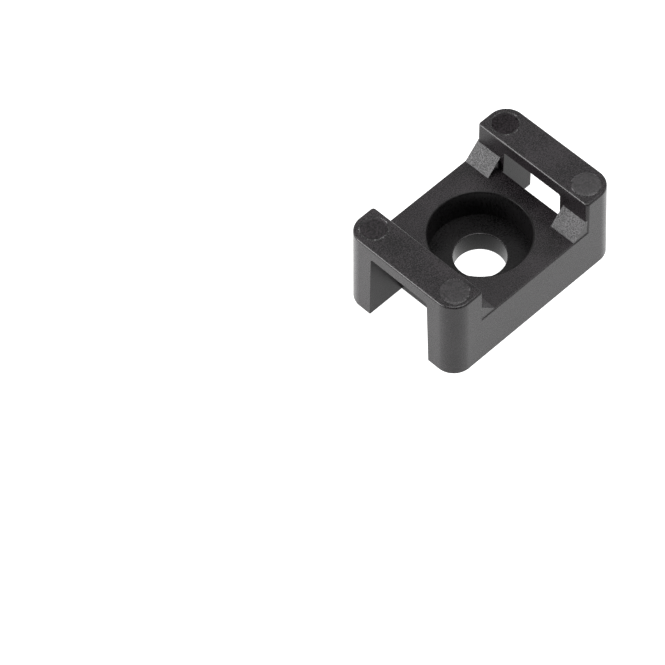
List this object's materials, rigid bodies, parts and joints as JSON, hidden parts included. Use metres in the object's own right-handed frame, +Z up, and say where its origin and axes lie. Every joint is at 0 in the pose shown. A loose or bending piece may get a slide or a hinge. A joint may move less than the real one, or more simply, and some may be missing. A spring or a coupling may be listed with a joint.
{
  "type": "cable tie mount",
  "caption": "Screw-down saddle mount for cable ties: a moulded block with end rails, a tie slot under each rail and a recessed screw hole.",
  "frame": {"origin": "centre of the rectangular footprint, on the face that meets the panel", "axes": "+X along the cable tie, from rail to rail; +Y along the rails; +Z up, away from the panel"},
  "size_m": [0.0152, 0.01, 0.0069],
  "materials": {
    "nylon": "satin"
  },
  "bodies": {
    "root": {"cable_tie_mount": "nylon"}
  },
  "joints": []
}
